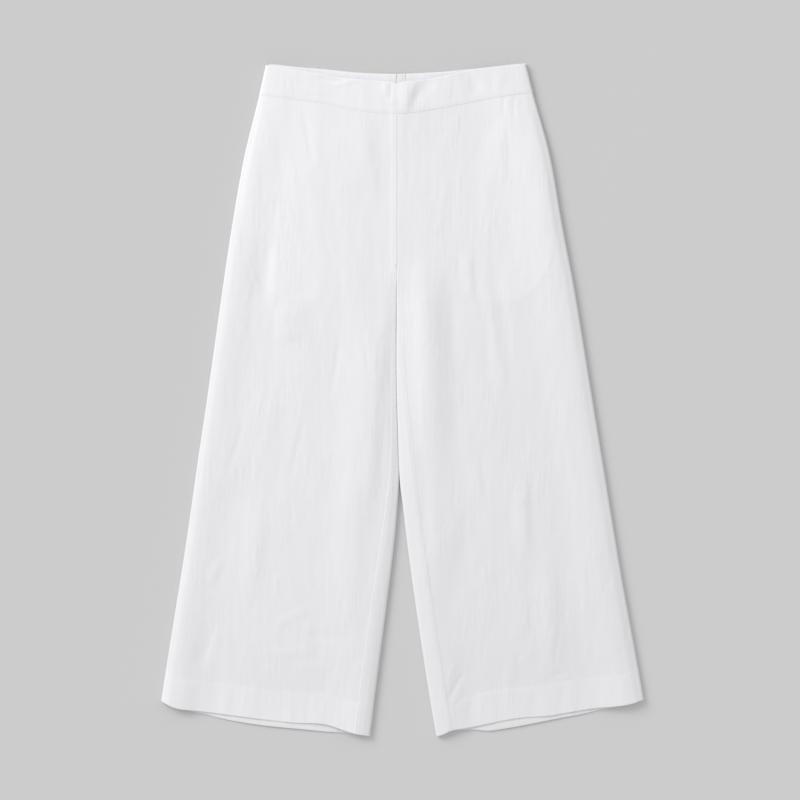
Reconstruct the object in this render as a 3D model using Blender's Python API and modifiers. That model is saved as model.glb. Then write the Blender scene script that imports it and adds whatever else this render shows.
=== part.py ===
"""Wide-legged linen culottes, laid flat on their back with the front upwards. Metres, +Z up, waist towards +Y.

Left and right are the wearer's, so the right leg lies towards -X. Each piece of cloth is a grid laid along
the sections of the garment and thickened by Solidify. The tables are in millimetres.
"""

import math

import bmesh
import bpy
from mathutils import Matrix, Vector

MM = 0.001

# Cloth
WALL = 1.0  # thickness of every cloth wall
SEAM_GAP = 0.3  # between two pieces that are sewn together, and between layers that lie on each other
THICKNESS = 5.5  # front face to underside where the garment lies flat
SIDE_SEAM_RISE = 0.25  # of each piece's edge from the middle height, at the side seam

# Driving sizes
CROTCH_DOWN = 266.0  # every down is measured from the line of the two side corners of the waist
CROTCH_LENGTH = 24.0  # in which the seat seam spreads into the two inner folds
BAND_DEPTH = 43.0
HEM_DOWN = 940.0  # about where the legs end
HEM_DEPTH = 43.0
ZIP_LENGTH = 190.0
FACING_DEPTH = 41.0

# The outline of the laid garment: distance from the centre-front seam to the fold at the side seam.
SIDE_FOLD = (
    # down, right, left
    (-4.0, 186.5, 183.0),
    (0.0, 187.0, 184.0),
    (17.0, 191.0, 188.5),
    (44.0, 196.0, 194.0),
    (63.0, 201.0, 200.0),
    (91.0, 209.0, 209.0),
    (134.0, 219.0, 220.0),
    (220.0, 234.0, 234.0),
    (306.0, 247.0, 251.0),
    (391.0, 259.0, 265.0),
    (477.0, 271.0, 279.0),
    (563.0, 284.0, 293.0),
    (649.0, 296.0, 307.0),
    (734.0, 309.0, 321.0),
    (820.0, 323.0, 337.0),
    (891.0, 334.0, 349.5),
    (930.0, 340.0, 356.0),
)

# From the centre line to the fold at the inside of each leg.
INNER_FOLD = (
    # down, right, left
    (266.0, 0.0, 0.0),
    (306.0, 1.6, 1.8),
    (391.0, 3.0, 0.4),
    (477.0, 2.2, 1.0),
    (563.0, -0.6, 4.0),
    (606.0, -2.4, 5.3),
    (649.0, 0.3, 10.3),
    (734.0, 10.1, 21.3),
    (820.0, 21.3, 34.0),
    (891.0, 30.4, 44.7),
    (957.0, 38.6, 56.1),
    (980.0, 41.5, 60.0),
)

# The back piece rolls round the inner fold, and the inseam lies this far from it on the front.
INSEAM_ROLL = (
    # down, right, left
    (266.0, 4.0, 4.0),
    (400.0, 5.0, 9.0),
    (500.0, 7.0, 16.0),
    (571.0, 10.5, 22.0),
    (643.0, 18.6, 24.7),
    (831.0, 23.0, 25.5),
    (980.0, 23.4, 26.0),
)

# Edges that run across, from the side fold (0) to the centre line or the inner fold (1).
FRONT_TOP = (
    # across, right, left
    (0.0, 0.0, -1.0),
    (0.2, 5.5, 2.0),
    (0.4, 11.0, 5.5),
    (0.5, 15.0, 9.5),
    (0.6, 18.0, 13.5),
    (0.8, 21.6, 20.8),
    (1.0, 24.5, 24.5),
)
FRONT_WAIST_SEAM = (
    # across, right, left
    (0.0, 42.5, 39.5),
    (0.3, 50.5, 47.0),
    (0.5, 55.5, 54.5),
    (0.68, 63.5, 61.0),
    (0.85, 68.0, 67.0),
    (1.0, 69.5, 69.5),
)
BACK_TOP = (
    # across, right, left
    (0.0, -2.0, -3.0),
    (0.2, 1.8, 1.0),
    (0.4, 4.3, 4.5),
    (0.7, 9.5, 9.0),
    (1.0, 11.5, 11.5),
)
FRONT_HEM = (
    # across, right, left
    (0.0, 907.0, 905.0),
    (0.05, 916.5, 910.5),
    (0.13, 919.5, 914.5),
    (0.25, 924.5, 918.5),
    (0.5, 934.5, 931.5),
    (0.7, 941.0, 941.5),
    (0.82, 948.0, 949.5),
    (0.93, 953.5, 953.0),
    (1.0, 957.0, 957.0),
)
BACK_HEM_BELOW_FRONT = (
    # across, right, left
    (0.0, 0.0, 0.0),
    (0.14, 0.0, 0.0),
    (0.28, 5.4, 5.0),
    (0.43, 7.8, 6.5),
    (0.58, 9.4, 9.3),
    (0.73, 8.6, 8.2),
    (0.85, 3.6, 2.9),
    (0.93, 0.0, 0.0),
    (1.0, 0.0, 0.0),
)

# Main folds of the front, as soft ridges (height above 0) and troughs (below 0), from one end to the other.
FOLDS = (
    # side, from_out, from_down, to_out, to_down, half_width, height
    ("right", 203.0, 75.0, 205.0, 330.0, 22.0, 1.6),
    ("right", 176.0, 60.0, 190.0, 330.0, 20.0, -0.2),
    ("right", 60.0, 280.0, 75.0, 640.0, 42.0, 1.4),
    ("right", 285.0, 640.0, 310.0, 880.0, 24.0, 1.2),
    ("left", 14.0, 250.0, 16.0, 590.0, 16.0, 1.6),
    ("left", 50.0, 270.0, 68.0, 560.0, 22.0, -1.6),
    ("left", 118.0, 260.0, 160.0, 540.0, 30.0, 1.4),
    ("left", 205.0, 90.0, 214.0, 300.0, 24.0, 1.4),
    ("left", 198.0, 560.0, 236.0, 840.0, 34.0, 1.2),
)

# The pocket bags hang from the side seams.
POCKET_BAG = (
    # down, right_outer, left_outer, right_inner, left_inner
    (78.0, 198.0, 197.0, 92.0, 101.0),
    (150.0, 214.0, 214.0, 90.0, 99.0),
    (232.0, 221.0, 224.0, 88.0, 99.0),
    (290.0, 202.0, 218.0, 88.0, 100.0),
    (322.0, 184.0, 196.0, 94.0, 106.0),
    (337.0, 160.0, 172.0, 112.0, 122.0),
)

# The zip is open above its slider, which leaves a slit between the ends of the back waistband.
SLIT_HALF_WIDTH = (
    # down, half_width
    (0.0, 1.3),
    (12.0, 1.3),
    (44.0, 1.0),
    (60.0, 0.15),
    (1000.0, 0.15),
)
TAPE_WIDTH = 9.0
SLIDER_DOWN = 34.0
PULL_LIFT = 2.6  # the pull lies under the back waistband and lifts the cloth there
PULL_LIFT_DOWN = 52.0
PULL_LIFT_REACH = (95.0, 100.0)  # across and down

SIDES = {"right": -1, "left": 1}
LINEN_WHITE = (0.85, 0.85, 0.87, 1.0)
TAPE_WHITE = (0.80, 0.80, 0.82, 1.0)
ENAMEL_WHITE = (0.78, 0.78, 0.80, 1.0)
SIDE_ARC = (0.0, 32.0, 62.0, 90.0)  # degrees up from the side seam
FOLD_ARC = (0.0, 40.0, 90.0, 140.0, 180.0)  # degrees round the inner fold, from the underside
HEM_ARC = (0.0, 60.0, 120.0, 180.0)  # degrees round the fold of the hem


def smooth_table(table, column, at):
    """Reads a column of a table at any value of its first one, on a smooth curve through the rows."""
    keys = [row[0] for row in table]
    values = [row[column] for row in table]
    at = min(max(at, keys[0]), keys[-1])
    k = max(i for i in range(len(keys) - 1) if keys[i] <= at)
    slopes = []
    for i in (k, k + 1):
        low = max(i - 1, 0)
        high = min(i + 1, len(keys) - 1)
        slopes.append((values[high] - values[low]) / (keys[high] - keys[low]))
    step = keys[k + 1] - keys[k]
    u = (at - keys[k]) / step
    rise = (values[k + 1] - values[k]) * (3 - 2 * u) * u * u
    return values[k] + rise + step * u * (1 - u) * (slopes[0] * (1 - u) - slopes[1] * u)


def column_of(side):
    return 1 if side == "right" else 2


def bump(distance):
    """1 at 0, falling smoothly to 0 at 1 and beyond."""
    return 0.5 + 0.5 * math.cos(math.pi * min(abs(distance), 1.0))


def lift(out, down):
    """How far the pull of the zip holds the cloth off the surface."""
    across = bump(out / PULL_LIFT_REACH[0])
    return PULL_LIFT * across * bump((down - PULL_LIFT_DOWN) / PULL_LIFT_REACH[1])


def fold_height(side, out, down):
    """The folds of the front at this place."""
    height = 0.0
    for of_side, out_a, down_a, out_b, down_b, half_width, rise in FOLDS:
        if of_side != side:
            continue
        run = (down - down_a) / (down_b - down_a)
        line = out_a + (out_b - out_a) * run
        height += rise * bump((out - line) / half_width) * bump(1.8 * (run - 0.5))
    return height


def place(side, out, down, height):
    """A point of the garment in metres, from its distance out from the centre line and down from the waist."""
    return Vector((SIDES[side] * out, -down, height)) * MM


def layer_heights(inset):
    """Middle of the lower and of the upper wall, with a piece inside them set in by this much."""
    return WALL / 2 + inset, THICKNESS - WALL / 2 - inset


def inner_edge(side, down):
    return smooth_table(INNER_FOLD, column_of(side), down) if down > CROTCH_DOWN else 0.0


def side_seam_point(side, down, angle, inset, upper):
    """A point of the quarter turn beside the side seam, from the seam (0) to the flat of the layer (90)."""
    low, high = layer_heights(inset)
    radius = (high - low) / 2
    out = smooth_table(SIDE_FOLD, column_of(side), down) - WALL / 2 - inset
    turn = math.radians(angle)
    rise = max(radius * math.sin(turn), SIDE_SEAM_RISE)
    out -= radius * (1 - math.cos(turn))
    middle = (low + high) / 2 + lift(out, down)
    return place(side, out, down, middle + rise if upper else middle - rise)


def turn_width(inset):
    """How much of the width a turn round a fold takes up."""
    low, high = layer_heights(inset)
    return (high - low) / 2 + WALL / 2 + inset


def flat_start(side, down, inset):
    """Where the flat of a layer starts, beside the turn at the side seam."""
    return smooth_table(SIDE_FOLD, column_of(side), down) - turn_width(inset)


def roll_share(side):
    """How far the inseam lies in from the inner fold at the hem, as a share of the leg's width."""
    here = column_of(side)
    inner = smooth_table(INNER_FOLD, here, HEM_DOWN)
    width = smooth_table(SIDE_FOLD, here, HEM_DOWN) - inner
    return smooth_table(INSEAM_ROLL, here, HEM_DOWN) / width


def front_point(side, column, down, inset):
    """A point of the front: a column is an angle at the side seam, or a share of the flat after it."""
    kind, value = column
    if kind == "side":
        return side_seam_point(side, down, value, inset, True)
    outer = flat_start(side, down, inset)
    inner = inner_edge(side, down)
    end = inner + SEAM_GAP / 2
    if down > CROTCH_DOWN + 1:
        end = inner + smooth_table(INSEAM_ROLL, column_of(side), down) + SEAM_GAP / 2
        end += 1.5 * bump((down - CROTCH_DOWN - CROTCH_LENGTH) / CROTCH_LENGTH)
    out = outer + (end - outer) * value
    height = layer_heights(inset)[1] + lift(out, down) + fold_height(side, out, down)
    return place(side, out, down, height)


def back_point(side, column, down, inset):
    """A point of the back: the flat, then the turn round the inner fold and the strip up to the inseam."""
    kind, value = column
    if kind == "side":
        return side_seam_point(side, down, value, inset, False)
    low, high = layer_heights(inset)
    outer = flat_start(side, down, inset)
    inner = inner_edge(side, down)
    turn = turn_width(inset)
    if down <= CROTCH_DOWN + 1:
        end = smooth_table(SLIT_HALF_WIDTH, 1, down)
        shares = {"flat": 0.94 * value, "fold": 0.94 + 0.04 * value / 180, "roll": 0.98 + 0.02 * value}
        out = outer + (end - outer) * shares[kind]
        return place(side, out, down, low + lift(out, down))
    if kind == "flat":
        return place(side, outer + (inner + turn - outer) * value, down, low)
    radius = (high - low) / 2
    if kind == "fold":
        angle = math.radians(value)
        height = low + radius * (1 - math.cos(angle))
        return place(side, inner + turn - radius * math.sin(angle), down, height)
    roll = smooth_table(INSEAM_ROLL, column_of(side), down) - SEAM_GAP / 2
    out = inner + turn + (max(roll, turn + 0.2) - turn) * value
    return place(side, out, down, high + fold_height(side, out, down) * value)


def across_of(column):
    """The share of the way from the side fold to the inner edge, for the edges that run across."""
    kind, value = column
    return {"side": 0.0, "flat": value, "fold": 1.0, "roll": 1.0}[kind]


def new_object(collection, name, mesh, material):
    mesh.materials.append(material)
    piece = bpy.data.objects.new(name, mesh)
    collection.objects.link(piece)
    return piece


def sheet(collection, name, columns, rows, point, material, wall=WALL):
    """A grid of columns by rows, each of its points put where point(column, row) says, then given its wall."""
    mesh = bpy.data.meshes.new(name)
    grid = bmesh.new()
    across = len(columns) - 1
    down = len(rows) - 1
    bmesh.ops.create_grid(grid, x_segments=across, y_segments=down, size=0.5)
    for vertex in grid.verts:
        i = round((vertex.co.x + 0.5) * across)
        j = round((vertex.co.y + 0.5) * down)
        vertex.co = point(columns[i], rows[j])
    grid.to_mesh(mesh)
    grid.free()
    mesh.shade_smooth()
    mesh.set_sharp_from_angle(angle=math.radians(50))
    piece = new_object(collection, name, mesh, material)
    solidify = piece.modifiers.new("wall", "SOLIDIFY")
    solidify.thickness = wall * MM
    solidify.offset = 0.0
    solidify.use_even_offset = True
    return piece


def leg_rows(crotch_share, parted_share):
    """Rows down a leg piece as shares of its length, with one at the crotch and one where the legs have parted."""
    above = 5
    below = 11
    shares = [crotch_share * i / above for i in range(above + 1)]
    return shares + [parted_share + (1 - parted_share) * i / below for i in range(below)]


def leg_piece(collection, side, front, material):
    """A front or back leg piece from its waist seam to its hem, which is turned up inside."""
    if front:
        columns = [("side", angle) for angle in SIDE_ARC] + [("flat", i / 12) for i in range(1, 13)]
    else:
        columns = [("side", angle) for angle in SIDE_ARC] + [("flat", i / 10) for i in range(1, 10)]
        columns += [("fold", angle) for angle in FOLD_ARC] + [("roll", 0.4), ("roll", 1.0)]
    here = column_of(side)
    turn_radius = (WALL + SEAM_GAP) / 2
    inset = 2 * turn_radius

    def top(column):
        across = across_of(column)
        if front:
            return smooth_table(FRONT_WAIST_SEAM, here, across) + SEAM_GAP / 2
        return smooth_table(BACK_TOP, here, across) + BAND_DEPTH + SEAM_GAP / 2

    def hem(column):
        across = across_of(column)
        if front:
            across *= 1 - roll_share(side)
        elif column[0] == "roll":
            across -= roll_share(side) * column[1]
        edge = smooth_table(FRONT_HEM, here, across)
        if not front:
            edge += smooth_table(BACK_HEM_BELOW_FRONT, here, across)
        return edge

    centre_top = top(("flat", 1.0))
    length = hem(("flat", 1.0)) - centre_top
    crotch_share = (CROTCH_DOWN - centre_top) / length
    rows = [("cloth", share) for share in leg_rows(crotch_share, crotch_share + CROTCH_LENGTH / length)]
    rows += [("turn", angle) for angle in HEM_ARC] + [("inside", 1.0)]

    def point(column, row):
        kind, value = row
        edge = hem(column) - WALL / 2
        set_in = 0.0
        if kind == "cloth":
            down = top(column) + (edge - turn_radius - top(column)) * value
        elif kind == "turn":
            angle = math.radians(value)
            down = edge - turn_radius * (1 - math.sin(angle))
            set_in = turn_radius * (1 - math.cos(angle))
        else:
            down = edge - HEM_DEPTH
            set_in = inset
        return (front_point if front else back_point)(side, column, down, set_in)

    name = ("front_leg_" if front else "back_leg_") + side
    return sheet(collection, name, columns, rows, point, material)


def band_columns(shares):
    return [("side", angle) for angle in SIDE_ARC] + [("flat", share) for share in shares]


def waistband_front(collection, material):
    """The front waistband, one piece from side seam to side seam."""
    half = band_columns([i / 12 for i in range(1, 12)])
    columns = [("right", column) for column in half] + [("right", ("flat", 1.0))]
    columns += [("left", column) for column in reversed(half)]

    def point(column, share):
        side, place_across = column
        across = across_of(place_across)
        here = column_of(side)
        top = smooth_table(FRONT_TOP, here, across)
        seam = smooth_table(FRONT_WAIST_SEAM, here, across) - SEAM_GAP / 2
        down = top + (seam - top) * share
        if place_across == ("flat", 1.0):
            return place(side, 0.0, down, layer_heights(0.0)[1] + lift(0.0, down))
        return front_point(side, place_across, down, 0.0)

    return sheet(collection, "waistband_front", columns, [0.0, 0.5, 1.0], point, material)


def waistband_back(collection, side, material):
    """Half of the back waistband, from the side seam to the slit of the zip."""
    columns = band_columns([i / 9 for i in range(1, 10)])
    here = column_of(side)

    def point(column, share):
        across = across_of(column)
        down = smooth_table(BACK_TOP, here, across) + (BAND_DEPTH - SEAM_GAP / 2) * share
        if column[0] == "side":
            return side_seam_point(side, down, column[1], 0.0, False)
        outer = flat_start(side, down, 0.0)
        out = outer + (smooth_table(SLIT_HALF_WIDTH, 1, down) - outer) * column[1]
        return place(side, out, down, layer_heights(0.0)[0] + lift(out, down))

    return sheet(collection, "waistband_back_" + side, columns, [0.0, 0.5, 1.0], point, material)


def waist_facing_back(collection, side, material):
    """The facing inside the back waistband, which shows above the top edge of the front."""
    inset = WALL + SEAM_GAP
    here = column_of(side)
    end = TAPE_WIDTH + 1.0 + SEAM_GAP

    def point(share, depth):
        down = smooth_table(BACK_TOP, here, share) + 0.6 + (FACING_DEPTH - 0.6) * depth
        outer = flat_start(side, down, inset) - 0.5
        out = outer + (end - outer) * share
        return place(side, out, down, layer_heights(inset)[0] + lift(out, down))

    columns = [i / 10 for i in range(11)]
    return sheet(collection, "waist_facing_back_" + side, columns, [0.0, 0.5, 1.0], point, material)


def pocket_bag(collection, side, material):
    """A pocket bag cut in one and folded at its inner edge, between the front and the back."""
    turn_radius = (WALL + SEAM_GAP) / 2
    upper = THICKNESS - WALL - SEAM_GAP - WALL / 2
    here = column_of(side)
    shares = [i / 5 for i in range(6)]
    columns = [("upper", share) for share in shares[:-1]]
    columns += [("turn", angle) for angle in HEM_ARC]
    columns += [("lower", share) for share in reversed(shares[:-1])]

    def point(column, down):
        kind, value = column
        outer = smooth_table(POCKET_BAG, here, down)
        inner = smooth_table(POCKET_BAG, here + 2, down) + turn_radius + WALL / 2
        if kind == "turn":
            angle = math.radians(value)
            out = inner - turn_radius * math.sin(angle)
            height = upper - turn_radius * (1 - math.cos(angle))
        else:
            out = outer + (inner - outer) * value
            height = upper if kind == "upper" else upper - 2 * turn_radius
        return place(side, out, down, height + lift(out, down))

    rows = [row[0] for row in POCKET_BAG]
    rows = sorted(rows + [114.0, 190.0, 262.0])
    return sheet(collection, "pocket_bag_" + side, columns, rows, point, material)


def zip_tape(collection, side, material):
    """Half of the zip's tape, on the inside beside the slit and down the seat seam."""
    inset = WALL + SEAM_GAP
    top = smooth_table(BACK_TOP, column_of(side), 1.0) + 1.0

    def point(share, down):
        inner = smooth_table(SLIT_HALF_WIDTH, 1, down) + 0.2
        out = inner + (TAPE_WIDTH + 1.0 - inner) * share
        return place(side, out, down, layer_heights(inset)[0] + lift(out, down))

    rows = [top + (ZIP_LENGTH - 1) * i / 12 for i in range(13)]
    return sheet(collection, "zip_tape_" + side, [0.0, 0.5, 1.0], rows, point, material)


def zip_coil(collection, material):
    """The closed coil below the slider, on the tapes, as one strip."""
    half_width = 1.6
    height = layer_heights(2 * (WALL + SEAM_GAP))[0] - 0.05
    start = SLIDER_DOWN + 5.6

    def point(share, down):
        out = half_width * share
        return place("left", out, down, height + lift(out, down))

    rows = [start + (ZIP_LENGTH - start + 8) * i / 10 for i in range(11)]
    return sheet(collection, "zip_coil", [-1.0, 1.0], rows, point, material, 0.9)


def block(bm, low, high):
    """Adds a box between two corners, in millimetres."""
    size = [(b - a) * MM for a, b in zip(low, high)]
    middle = [(a + b) / 2 * MM for a, b in zip(low, high)]
    matrix = Matrix.Translation(middle) @ Matrix.Diagonal((*size, 1.0))
    return bmesh.ops.create_cube(bm, size=1.0, matrix=matrix)["verts"]


def rod_across(bm, centre_y, centre_z, radius, half_length, sides=16):
    """Adds a cylinder along X, in millimetres."""
    matrix = Matrix.Translation((0.0, centre_y * MM, centre_z * MM)) @ Matrix.Rotation(math.pi / 2, 4, "Y")
    bmesh.ops.create_cone(
        bm,
        cap_ends=True,
        segments=sides,
        radius1=radius * MM,
        radius2=radius * MM,
        depth=2 * half_length * MM,
        matrix=matrix,
    )


def mesh_object(collection, name, build, material):
    bm = bmesh.new()
    build(bm)
    mesh = bpy.data.meshes.new(name)
    bm.to_mesh(mesh)
    bm.free()
    return new_object(collection, name, mesh, material)


def boolean(piece, operation, other):
    modifier = piece.modifiers.new(other.name, "BOOLEAN")
    modifier.operation = operation
    modifier.object = other
    modifier.solver = "EXACT"


def helper(cutters, name, build, material):
    piece = mesh_object(cutters, name, build, material)
    piece.hide_render = True
    piece.display_type = "WIRE"
    return piece


# The hinge of the pull: a bar under the back waistband, across the foot of the slider's post.
BAR_RADIUS = 0.30
EYE_RADIUS = 0.40
PULL_THICKNESS = 0.8
LUG_RADIUS = 0.95
BAR_HEIGHT = LUG_RADIUS
PULL_LENGTH = 26.0
PULL_HALF_WIDTH = 3.0
LUG_HALF_WIDTH = 1.9
POST_HALF_WIDTH = 0.45


def zip_slider(collection, cutters, material):
    """The slider: its body on the coil inside, a post through the slit and the bar that holds the pull."""
    base = lift(0.0, SLIDER_DOWN)
    y = -SLIDER_DOWN
    body_low = base + 2 * (WALL + SEAM_GAP)

    def body(bm):
        corners = block(bm, (-3.2, y - 5.0, body_low), (3.2, y + 5.0, body_low + 1.5))
        edges = {edge for corner in corners for edge in corner.link_edges}
        upright = [e for e in edges if abs(e.verts[0].co.z - e.verts[1].co.z) > 0.5 * MM]
        bmesh.ops.bevel(bm, geom=upright, offset=1.2 * MM, segments=2, affect="EDGES", profile=0.5)

    def post(bm):
        block(bm, (-POST_HALF_WIDTH, y - 0.7, BAR_HEIGHT - 0.1), (POST_HALF_WIDTH, y + 0.7, body_low + 0.4))

    def bar(bm):
        rod_across(bm, y, BAR_HEIGHT, BAR_RADIUS, LUG_HALF_WIDTH + 0.5)

    slider = mesh_object(collection, "zip_slider", body, material)
    boolean(slider, "UNION", helper(cutters, "slider_post", post, material))
    boolean(slider, "UNION", helper(cutters, "slider_bar", bar, material))
    return slider


def zip_pull(collection, cutters, material):
    """The pull, a small drop-shaped tab with a forked eye. Its origin is on the bar."""
    low = -LUG_RADIUS
    high = low + PULL_THICKNESS

    def lugs(bm):
        rod_across(bm, 0.0, 0.0, LUG_RADIUS, LUG_HALF_WIDTH)

    def tab(bm):
        corners = block(bm, (-PULL_HALF_WIDTH, -PULL_LENGTH, low), (PULL_HALF_WIDTH, 0.0, high))
        for corner in corners:
            if corner.co.y > -PULL_LENGTH / 2 * MM:
                corner.co.x *= LUG_HALF_WIDTH / PULL_HALF_WIDTH
        ends = [
            e
            for e in bm.edges
            if abs(e.verts[0].co.z - e.verts[1].co.z) > 0.5 * PULL_THICKNESS * MM
            and e.verts[0].co.y < -PULL_LENGTH / 2 * MM
        ]
        bmesh.ops.bevel(bm, geom=ends, offset=2.4 * MM, segments=3, affect="EDGES", profile=0.5)

    def eye(bm):
        rod_across(bm, 0.0, 0.0, EYE_RADIUS, LUG_HALF_WIDTH + 1.0)

    def fork(bm):
        block(bm, (-POST_HALF_WIDTH - 0.25, -1.5, -2.0), (POST_HALF_WIDTH + 0.25, 2.0, 2.0))

    pull = mesh_object(collection, "zip_pull", tab, material)
    made = [
        ("UNION", helper(cutters, "pull_lugs", lugs, material)),
        ("DIFFERENCE", helper(cutters, "pull_eye", eye, material)),
        ("DIFFERENCE", helper(cutters, "pull_fork", fork, material)),
    ]
    for operation, other in made:
        boolean(pull, operation, other)
        other.parent = pull
    pull.location = Vector((0.0, -SLIDER_DOWN, BAR_HEIGHT)) * MM
    return pull


def finish(name, colour, roughness, metallic=0.0):
    """A plain Principled material."""
    material = bpy.data.materials.new(name)
    material.use_nodes = True
    shader = material.node_tree.nodes["Principled BSDF"]
    shader.inputs["Base Color"].default_value = colour
    shader.inputs["Roughness"].default_value = roughness
    shader.inputs["Metallic"].default_value = metallic
    material.diffuse_color = colour
    return material


def stand_on_origin(pieces):
    """Moves the whole garment so that the middle of its underside is the origin."""
    bpy.context.view_layer.update()
    graph = bpy.context.evaluated_depsgraph_get()
    corners = []
    for piece in pieces:
        shape = piece.evaluated_get(graph)
        corners += [shape.matrix_world @ Vector(corner) for corner in shape.bound_box]
    low = [min(corner[axis] for corner in corners) for axis in range(3)]
    high = [max(corner[axis] for corner in corners) for axis in range(3)]
    middle = Vector(((low[0] + high[0]) / 2, (low[1] + high[1]) / 2, low[2]))
    for piece in bpy.data.objects:
        if piece.parent is None:
            piece.location -= middle


def main():
    for old in list(bpy.data.objects):
        bpy.data.objects.remove(old)
    garment = bpy.data.collections.new("culottes")
    cutters = bpy.data.collections.new("cutters")
    bpy.context.scene.collection.children.link(garment)
    bpy.context.scene.collection.children.link(cutters)
    linen = finish("white_linen", LINEN_WHITE, 0.9)
    tape = finish("zip_tape", TAPE_WHITE, 0.85)
    enamel = finish("white_enamel", ENAMEL_WHITE, 0.35)

    pieces = [waistband_front(garment, linen)]
    for side in SIDES:
        pieces.append(leg_piece(garment, side, True, linen))
        pieces.append(leg_piece(garment, side, False, linen))
        pieces.append(waistband_back(garment, side, linen))
        pieces.append(waist_facing_back(garment, side, linen))
        pieces.append(pocket_bag(garment, side, linen))
        pieces.append(zip_tape(garment, side, tape))
    pieces.append(zip_coil(garment, tape))
    pieces.append(zip_slider(garment, cutters, enamel))
    pieces.append(zip_pull(garment, cutters, enamel))
    stand_on_origin(pieces)


main()
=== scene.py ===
"""White linen culottes, laid flat on their back with the front upwards.

The CAD gives the outline: each fold and edge here is read off its solids. This script lays fine sheets of
cloth along it, with the creases of worn linen, seams, turned-up hems and the zip, and lights them on a table.
Left and right are the wearer's. Places on the garment are in millimetres: x from the centre-front seam,
towards the wearer's left, and down from the line of the two upper corners of the waist.
"""

import math

import bpy
import numpy as np
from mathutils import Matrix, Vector


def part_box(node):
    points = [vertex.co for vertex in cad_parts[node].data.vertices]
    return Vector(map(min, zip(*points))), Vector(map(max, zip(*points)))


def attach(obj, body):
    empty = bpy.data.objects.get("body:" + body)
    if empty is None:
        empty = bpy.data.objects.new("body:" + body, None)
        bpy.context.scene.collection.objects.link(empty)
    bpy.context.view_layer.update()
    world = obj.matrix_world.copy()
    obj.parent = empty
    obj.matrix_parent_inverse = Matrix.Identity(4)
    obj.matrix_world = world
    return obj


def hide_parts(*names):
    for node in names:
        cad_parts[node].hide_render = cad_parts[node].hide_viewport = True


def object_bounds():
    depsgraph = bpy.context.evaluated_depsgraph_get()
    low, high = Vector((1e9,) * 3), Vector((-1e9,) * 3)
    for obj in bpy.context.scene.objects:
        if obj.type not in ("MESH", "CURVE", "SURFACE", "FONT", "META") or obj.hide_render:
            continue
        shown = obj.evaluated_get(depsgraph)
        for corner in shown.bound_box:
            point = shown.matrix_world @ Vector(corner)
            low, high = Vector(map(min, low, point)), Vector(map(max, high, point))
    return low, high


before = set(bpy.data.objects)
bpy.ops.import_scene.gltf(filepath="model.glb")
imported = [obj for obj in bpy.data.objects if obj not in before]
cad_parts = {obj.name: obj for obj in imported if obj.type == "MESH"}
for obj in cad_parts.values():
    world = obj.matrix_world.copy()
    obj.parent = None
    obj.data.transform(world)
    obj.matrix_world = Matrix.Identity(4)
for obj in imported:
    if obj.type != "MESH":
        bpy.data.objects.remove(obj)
CAD_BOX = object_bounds()
MM = 0.001

# Where the garment's own centre and waist line lie in the frame
SLIDER_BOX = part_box("zip_slider")
CENTRE_X = (SLIDER_BOX[0].x + SLIDER_BOX[1].x) / 2
WAIST_Y = CAD_BOX[1].y - 3.0 * MM
SIDES = {"right": -1.0, "left": 1.0}

# Heights in the CAD, in millimetres, between which its front and its back are told apart
ANY_HEIGHT = (-1.0, 99.0)
UPPER_LAYER = (3.4, 99.0)
LOWER_LAYER = (-1.0, 2.4)

# Cloth
CLOTH = 0.6  # one layer of the linen
BAND_CLOTH = 1.2  # the waistband, with its facing and seam allowances
BAND_PRESSED = {"right": 0.36, "left": 0.16}  # at its lower edge, down to the leg's surface
HEM_DEPTH = 43.0
HEM_TURN = 0.55  # radius of the fold at the bottom of a hem
SEAM = -0.1  # between two pieces, whose edges pass each other a little
INSEAM_ALLOWANCE = 9.0
CENTRE_ALLOWANCE = 8.5
TUCK = 1.0  # of the front under the waistband's lower edge
CROTCH_DOWN = 292.0
CROTCH_EASE = 9.0  # down which the front and back come together above the crotch
BAND_DEPTH = 43.0
FACING_DEPTH = 41.0
FACING_START = {"right": 12.2, "left": 13.05}  # out from the slit's middle
ZIP_TURN = 0.65  # radius of the fold at the slit
ZIP_ALLOWANCE = 11.5  # of the edge that is turned in there
TAPE_WIDTH = 12.0
COIL_PITCH = 1.05
BAG_TOP = 79.0
BAG_READ = (84.0, 324.0)  # the downs between which its two side edges are read
BAG_END = 345.0  # just below the lowest point of a bag
LEG_WIDTH = 300.0  # at about the middle, for the number of columns
BACK_HEM_LIFT = 1.2  # the back's hem curls up behind the front's
STITCH_SPACING = 7.0
STITCH_LENGTH = 2.2
WEAVE_PITCH = 0.00125  # metres

# How high the front lies
WAIST_HEIGHT = 8.2
LEG_HEIGHT = 7.2  # in the middle of a leg
HEIGHT_REACHED = 110.0  # down from the waist
SIDE_DROP = 1.8  # the front is this much lower at the fold of the side
SIDE_REACH = 11.0
INNER_DROP = (1.8, 1.6)  # and at the inner fold: where the legs touch, and further down
INNER_REACH = 8.5
LEGS_PART = (578.0, 645.0)  # down which the two legs come apart
LOWEST_FRONT = (5.0, 3.6)  # clear of the pocket bags, and of the back below them
HEM_SINK = 2.8  # the front lies lower at the middle of a hem

# The zip's pull lies under the back waistband and holds the cloth off the table there.
PULL_LIFT = 2.6
PULL_DOWN = 52.0
PULL_REACH = (95.0, 100.0)  # across and down

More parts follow.
